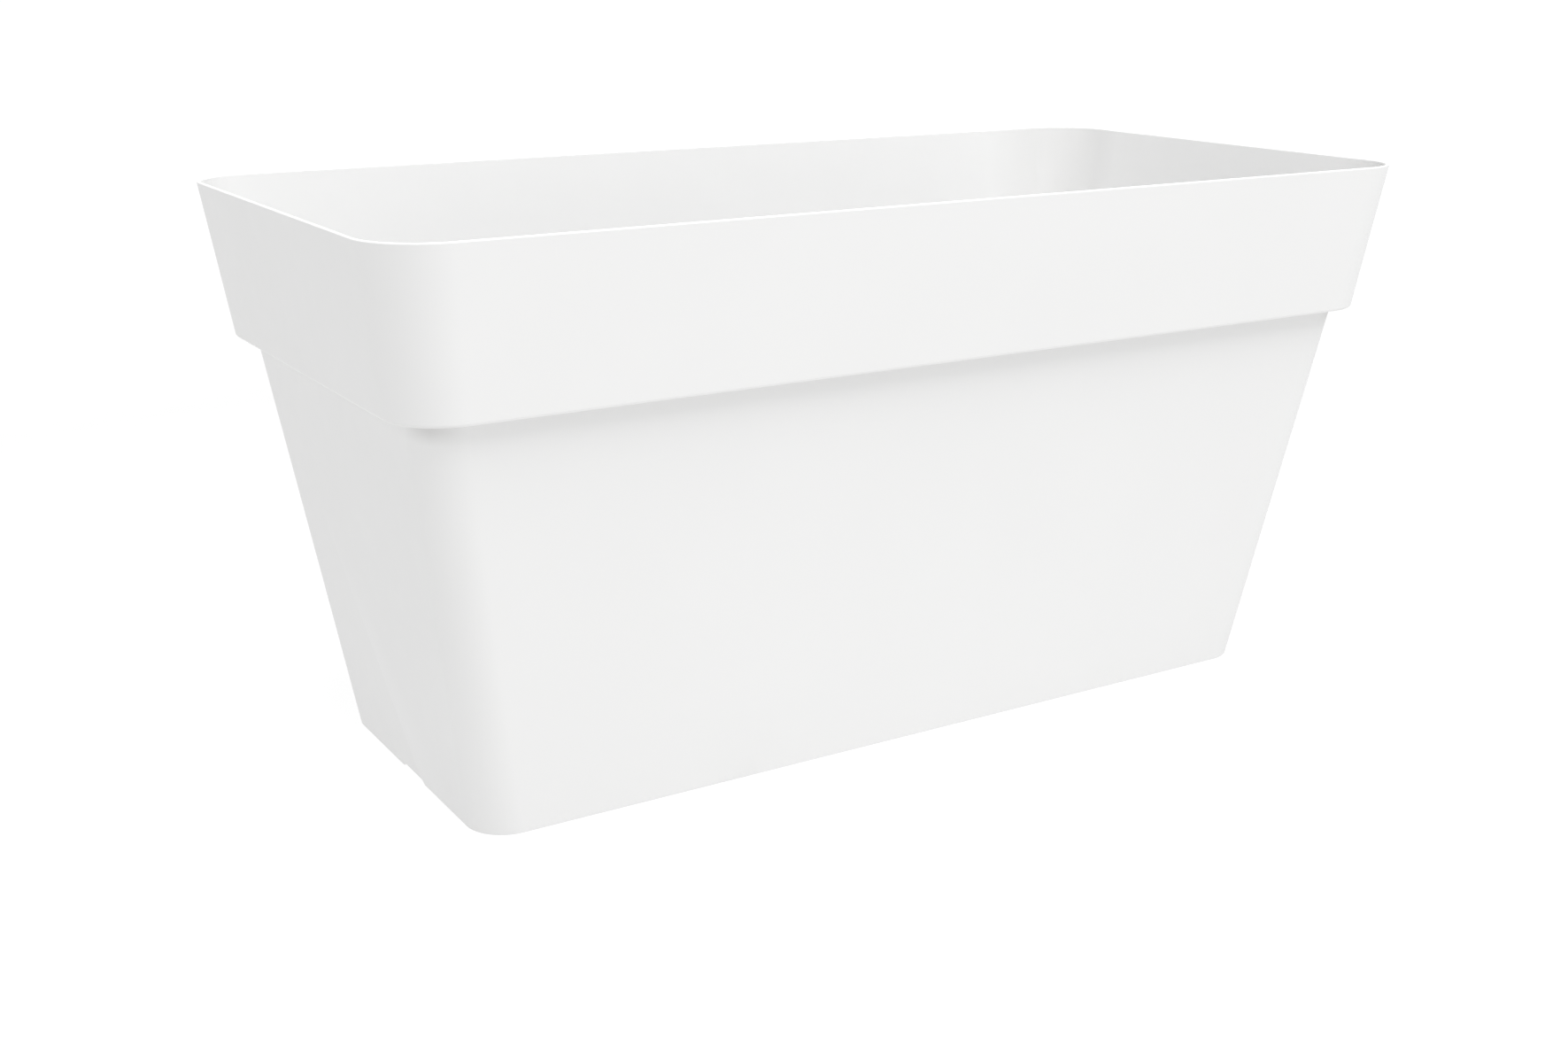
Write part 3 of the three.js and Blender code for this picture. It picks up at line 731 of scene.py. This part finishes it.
def support_legs():
    """Hollow legs with a snap peg."""
    low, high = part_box("support_leg_1")
    foot, shoulder, plate, top = low.z / MM, PLATE_Z / MM - 0.3, PLATE_TOP / MM + 0.3, high.z / MM
    leg = spindle([
        (0, shoulder - 4, 0),
        (7.5, shoulder - 4, 0.8),
        (6.2, foot, 0.5),
        (8.2, foot, 0.5),
        (10.5, shoulder, 0.8),
        (4, shoulder, 0.3),
        (4, plate, 0.2),
        (6, plate, 0.35),
        (4, top, 0.8),
        (0, top, 0),
    ], steps=40)
    obj = made("leg", leg)
    for i in range(1, 9):
        node = f"support_leg_{i}"
        middle = centre_of(node)
        dressed(copied(obj, f"leg_{i}", (middle.x, middle.y, 0)), node, materials["fitting"])
    bpy.data.objects.remove(obj)


# ---- the filling tube, its collar and its flap ------------------------------------------------------------
TUBE_PLACE = Vector((*centre_of("filling_tube").xy, 0))
HINGE = Vector((0, -29.5 * MM, 354 * MM))  # from the tube's place
PIN_HOLE = 1.8 * MM
BARREL_HALF, BARREL_RADIUS = 15.4, 3.5  # in millimetres
EAR_RADIUS = 4 * MM
COLLAR_RIM = 352  # height in millimetres
TUBE_OUTLINE = Vector((26, 0, 19, 8)) * MM
LID_OUTLINE = Vector((33, 0, 24.5, 12)) * MM


def ring_point(shape, z, growth=0.0):
    """A level of a loft: the outline at height z, grown, all in millimetres."""
    return shape + Vector((growth, z, growth, growth)) * MM


def hinge_bore():
    return rod(PIN_HOLE, -30 * MM, 30 * MM, HINGE.y, HINGE.z)


def placed(obj, node, material):
    obj.location = TUBE_PLACE
    return dressed(obj, node, material)


def filling_tube():
    low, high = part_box("filling_tube")
    foot, top, flange = low.z / MM, high.z / MM, FLANGE_TOP / MM
    obj = made("tube", loft(rounded([
        (ring_point(TUBE_OUTLINE, foot), 0.6 * MM),
        (ring_point(TUBE_OUTLINE, flange - 2.5), 0.8 * MM),
        (ring_point(TUBE_OUTLINE, flange - 2.5, 5), 0.8 * MM),
        (ring_point(TUBE_OUTLINE, flange, 5), 0.8 * MM),
        (ring_point(TUBE_OUTLINE, flange), 1.5 * MM),
        (ring_point(TUBE_OUTLINE, top), 0.6 * MM),
        (ring_point(TUBE_OUTLINE, top, -2), 0.6 * MM),
        (ring_point(TUBE_OUTLINE, foot, -2), 0.6 * MM),
    ], closed=True), closed=True, steps=10))
    outlet_z = (low.z - 15 * MM, low.z + 14 * MM)
    carved(obj, "DIFFERENCE", tunnel(40 * MM, 16 * MM, *outlet_z, 4 * MM))
    carved(obj, "DIFFERENCE", tunnel(40 * MM, 26 * MM, *outlet_z, 4 * MM, 90))
    return placed(softened(obj, 0.3 * MM), "filling_tube", materials["tube"])


def hinge_ear(x0, x1):
    """A plate with a round top about the hinge line, and a foot sunk in the collar's wall."""
    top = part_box("filling_collar")[1].z - EAR_RADIUS
    low, bend, high = 340 * MM, 346 * MM, 350 * MM
    sunk, outer = -21.9 * MM, -24 * MM
    arc = [math.pi * step / 16 for step in range(17)]
    side = [(HINGE.y + EAR_RADIUS * math.cos(t), top + EAR_RADIUS * math.sin(t)) for t in arc]
    side += [(HINGE.y - EAR_RADIUS, bend), (outer, low), (sunk, low), (sunk, high)]
    side.append((HINGE.y + EAR_RADIUS, high))
    return skin([[(x, y, z) for y, z in side] for x in (x0, x1)])


def filling_collar():
    low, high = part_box("filling_collar")
    foot, seat = low.z / MM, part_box("filling_tube")[1].z / MM + 0.3
    obj = made("collar", loft(rounded([
        (ring_point(TUBE_OUTLINE, foot, 2.9), 0.8 * MM),
        (ring_point(LID_OUTLINE, COLLAR_RIM), 0.8 * MM),
        (ring_point(LID_OUTLINE, COLLAR_RIM, -2.6), 0.8 * MM),
        (ring_point(TUBE_OUTLINE, seat, -1.6), 0.3 * MM),
        (ring_point(TUBE_OUTLINE, seat, 0.3), 0.2 * MM),
        (ring_point(TUBE_OUTLINE, foot, 0.3), 0.4 * MM),
    ], closed=True), closed=True, steps=10))
    for x0, x1 in ((-20, -16), (16, 20)):
        carved(obj, "UNION", hinge_ear(x0 * MM, x1 * MM))
    carved(obj, "DIFFERENCE", hinge_bore())
    return placed(softened(obj, 0.35 * MM), "filling_collar", materials["tube"])


def filling_flap():
    """The lid with a sunk panel, a finger tab, a web, and the hinge's barrel."""
    bottom, top = COLLAR_RIM + 0.3, COLLAR_RIM + 3.3
    obj = made("flap", loft(rounded([
        (ring_point(LID_OUTLINE, bottom, -10), 0),
        (ring_point(LID_OUTLINE, bottom), 0.6 * MM),
        (ring_point(LID_OUTLINE, top, -0.4), 1.2 * MM),
        (ring_point(LID_OUTLINE, top, -5), 0.8 * MM),
        (ring_point(LID_OUTLINE, top - 0.8, -6.5), 0.8 * MM),
        (ring_point(LID_OUTLINE, top - 0.8, -11), 0),
    ]), steps=10))
    level = ((bottom + 0.5) * MM, (top - 0.5) * MM)
    tab = pebble(9 * MM, 5.3 * MM, 3 * MM, *level, 0.5 * MM)
    carved(obj, "UNION", moved(tab, y=25.2 * MM))
    web = pebble(15 * MM, 3.5 * MM, 0.6 * MM, *level, 0.4 * MM, steps=3)
    carved(obj, "UNION", moved(web, y=HINGE.y + 3.5 * MM))
    barrel = spindle([
        (0, -BARREL_HALF, 0),
        (BARREL_RADIUS, -BARREL_HALF, 0.5),
        (BARREL_RADIUS, BARREL_HALF, 0.5),
        (0, BARREL_HALF, 0),
    ], steps=40)
    carved(obj, "UNION", moved(turned_by(barrel, 90, "Y"), y=HINGE.y, z=HINGE.z))
    carved(obj, "DIFFERENCE", hinge_bore())
    return placed(obj, "filling_flap", materials["flap"])


def flap_hinge_pin():
    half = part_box("flap_hinge_pin")[1].x / MM - TUBE_PLACE.x / MM
    pin = spindle([(0, -half, 0), (1.5, -half, 0.5), (1.5, half, 0.5), (0, half, 0)], steps=24)
    obj = made("hinge_pin", moved(turned_by(pin, 90, "Y"), y=HINGE.y, z=HINGE.z))
    return placed(obj, "flap_hinge_pin", materials["pin"])


# ---- the float gauge --------------------------------------------------------------------------------------
def at_gauge(name, mesh, node, material, softness=0.0):
    obj = made(name, mesh)
    if softness:
        softened(obj, softness)
    obj.location = (*TOWER_PLACE, 0)
    return dressed(obj, node, material)


def gauge_tube():
    low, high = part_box("gauge_tube")
    foot, top, flange = low.z / MM, high.z / MM, FLANGE_TOP / MM
    obj = made("gauge_body", spindle([
        (14, foot, 0),
        (14, flange - 2.5, 0.8),
        (20, flange - 2.5, 0.8),
        (20, flange, 0.8),
        (14, flange, 1.5),
        (14, top, 1),
        (2.6, top, 0.4),
        (2.6, top - 4, 0.4),
        (12, top - 4, 0.8),
        (12, foot, 0),
    ], closed=True))
    for degrees in (0, 90):
        inlet = tunnel(30 * MM, 7 * MM, low.z - 15 * MM, low.z + 18 * MM, 3.4 * MM, degrees)
        carved(obj, "DIFFERENCE", inlet)
    softened(obj, 0.2 * MM)
    obj.location = (*TOWER_PLACE, 0)
    return dressed(obj, "gauge_tube", materials["tube"])


def gauge_head():
    """The clear cap, the scale behind it and the marker that rises in it."""
    low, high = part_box("gauge_window")
    foot, top = low.z / MM, high.z / MM
    window = spindle([
        (0, top - 2, 0),
        (14.3, top - 2, 1.5),
        (14.3, foot, 0.4),
        (16.3, foot, 0.4),
        (16.3, top, 3.2),
        (0, top, 0),
    ])
    at_gauge("window", window, "gauge_window", materials["window"])

    low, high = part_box("gauge_scale")
    half, middle = (high - low) / 2, (high + low) / 2
    card = block(half.x, half.y, 0.4 * MM, low.z, high.z, steps=3)
    card = moved(card, y=middle.y - TOWER_PLACE.y)
    at_gauge("scale", card, "gauge_scale", materials["scale"], 0.2 * MM)

    low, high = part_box("gauge_marker")
    foot, top = low.z / MM, high.z / MM
    button = spindle([(0, foot, 0), (7, foot, 0.6), (7, top, 2.2), (0, top, 0)], steps=48)
    at_gauge("marker", button, "gauge_marker", materials["marker"])


def gauge_float():
    low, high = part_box("gauge_float")
    foot, top = low.z / MM, high.z / MM
    body = [(2.3, foot, 0.4), (10.8, foot, 1.8), (10.8, top, 1.8), (2.3, top, 0.4)]
    at_gauge("float", spindle(body, closed=True, steps=48), "gauge_float", materials["float"])
    low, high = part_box("gauge_stem")
    foot, top = low.z / MM, high.z / MM
    stem = spindle([(0, foot, 0), (2, foot, 0.5), (2, top, 0.3), (0, top, 0)], steps=24)
    at_gauge("stem", stem, "gauge_stem", materials["stem"])


# ---- the overflow plugs -----------------------------------------------------------------------------------
def overflow_plugs():
    """Each plug has a head with a seal on it under the riser's top, and a tab to pull it by."""
    low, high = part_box("overflow_plug_right")
    foot, tip = low.z / MM, high.z / MM
    head, level = foot + 18, WATER_LEVEL / MM
    plug = made("plug", spindle([
        (0, head - 4, 0),
        (11, head - 4, 0.8),
        (11, head, 0.8),
        (7.6, head, 0.5),
        (7.6, level + 1, 0.8),
        (5.6, tip, 0.8),
        (0, tip, 0),
    ], steps=48))
    tab_z = (low.z, low.z + 17 * MM)
    carved(plug, "UNION", tunnel(1.5 * MM, 15 * MM, *tab_z, 4 * MM, 90))
    eye_z = (low.z + 3.5 * MM, low.z + 9.5 * MM)
    carved(plug, "DIFFERENCE", tunnel(5 * MM, 6 * MM, *eye_z, 2.95 * MM, 90))
    softened(plug, 0.2 * MM)
    low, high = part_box("plug_seal_right")
    foot, top = low.z / MM, high.z / MM
    ring = [(8, foot, 0.5), (11, foot, 1.1), (11, top, 1.1), (8, top, 0.5)]
    seal = made("seal", spindle(ring, closed=True, steps=48))
    for side in ("left", "right"):
        x = centre_of(f"overflow_plug_{side}").x
        dressed(copied(plug, f"{side}_plug", (x, 0, 0)), f"overflow_plug_{side}", materials["plug"])
        dressed(copied(seal, f"{side}_seal", (x, 0, 0)), f"plug_seal_{side}", materials["seal"])
    bpy.data.objects.remove(plug)
    bpy.data.objects.remove(seal)


# ---- the studio -------------------------------------------------------------------------------------------
CAMERA_PLACE = Vector((-0.7364, -1.1605, 0.5423))
CAMERA_TURN = math.radians(-31.44)  # about Z, from looking along +Y
CAMERA_TILT = math.radians(16.74)  # below the horizon
CAMERA_LENS = 43.37  # in millimetres, as the sensor's width
CAMERA_SENSOR = 36

FLOOR_HALF = 30
FLOOR_DARK, FLOOR_LIGHT = 0.145, 0.155  # the paper's own grey
FLOOR_GLOW = 0.76
NEAR_GAIN, NEAR_REACH = 0.185, 1.2  # what the floor's glow gains at the middle, and where that ends
FAR_GAIN, FAR_START, FAR_REACH = 0.165, 0.65, 2.4  # what it gains with distance, and from where to where
SKY_GLOW = 0.67

# each lamp's place, its length and width, and its power in watts
OVERHEAD_LAMP = ((-0.36, -0.4, 3.2), (1.6, 1.0), 61)
FRONT_LAMP = ((0.46, -2.14, 3.31), (3, 2), 66)


def camera():
    data = bpy.data.cameras.new("camera")
    data.lens = CAMERA_LENS
    data.sensor_width = CAMERA_SENSOR
    data.clip_end = 200
    obj = bpy.data.objects.new("camera", data)
    obj.location = CAMERA_PLACE
    obj.rotation_euler = (math.pi / 2 - CAMERA_TILT, 0, CAMERA_TURN)
    bpy.context.scene.collection.objects.link(obj)
    bpy.context.scene.camera = obj


def floor():
    """A white sheet that glows, as a lit studio sweep does, so that nothing shows on it but white."""
    shader = Shader("floor_paper", Specular_IOR_Level=0.0)
    fibres = shader.noise(40 * MM, 3)
    dark, light = [FLOOR_DARK] * 3 + [1], [FLOOR_LIGHT] * 3 + [1]
    shader.connect("Base Color", shader.mixed(fibres, dark, light))
    shader.connect("Roughness", shader.spread(fibres, 0.8, 0.95))
    reach = shader.add("ShaderNodeVectorMath", {0: shader.place}, operation="LENGTH").outputs["Value"]
    near = shader.spread(reach, FLOOR_GLOW + NEAR_GAIN, FLOOR_GLOW, 0, NEAR_REACH)
    far = shader.spread(reach, 0, FAR_GAIN, FAR_START, FAR_REACH)
    shader.connect("Emission Strength", shader.combined("ADD", near, far))
    shader.surface.inputs["Emission Color"].default_value = (1, 1, 1, 1)
    mesh = bmesh.new()
    corners = ((-1, -1), (1, -1), (1, 1), (-1, 1))
    mesh.faces.new([mesh.verts.new((x * FLOOR_HALF, y * FLOOR_HALF, 0)) for x, y in corners])
    obj = made("floor", mesh)
    obj.data.materials.append(shader.material)


def lamp(name, place, size, power):
    """A rectangular lamp that faces the tub's middle."""
    data = bpy.data.lights.new(name, "AREA")
    data.shape = "RECTANGLE"
    data.size, data.size_y = size
    data.energy = power
    obj = bpy.data.objects.new(name, data)
    obj.location = place
    aim = Vector((0, 0, HEIGHT / 2)) - Vector(place)
    obj.rotation_euler = aim.to_track_quat("-Z", "Y").to_euler()
    bpy.context.scene.collection.objects.link(obj)


def studio():
    world = bpy.data.worlds.new("studio")
    world.use_nodes = True
    background = world.node_tree.nodes["Background"]
    background.inputs["Color"].default_value = (1, 1, 1, 1)
    background.inputs["Strength"].default_value = SKY_GLOW
    bpy.context.scene.world = world
    lamp("overhead", *OVERHEAD_LAMP)
    lamp("front", *FRONT_LAMP)
    bpy.context.scene.view_settings.view_transform = "Standard"


camera()
floor()
studio()
tub()
separator("left")
separator("right")
joining_clips()
wick_baskets()
support_legs()
filling_tube()
filling_collar()
filling_flap()
flap_hinge_pin()
gauge_tube()
gauge_head()
gauge_float()
overflow_plugs()
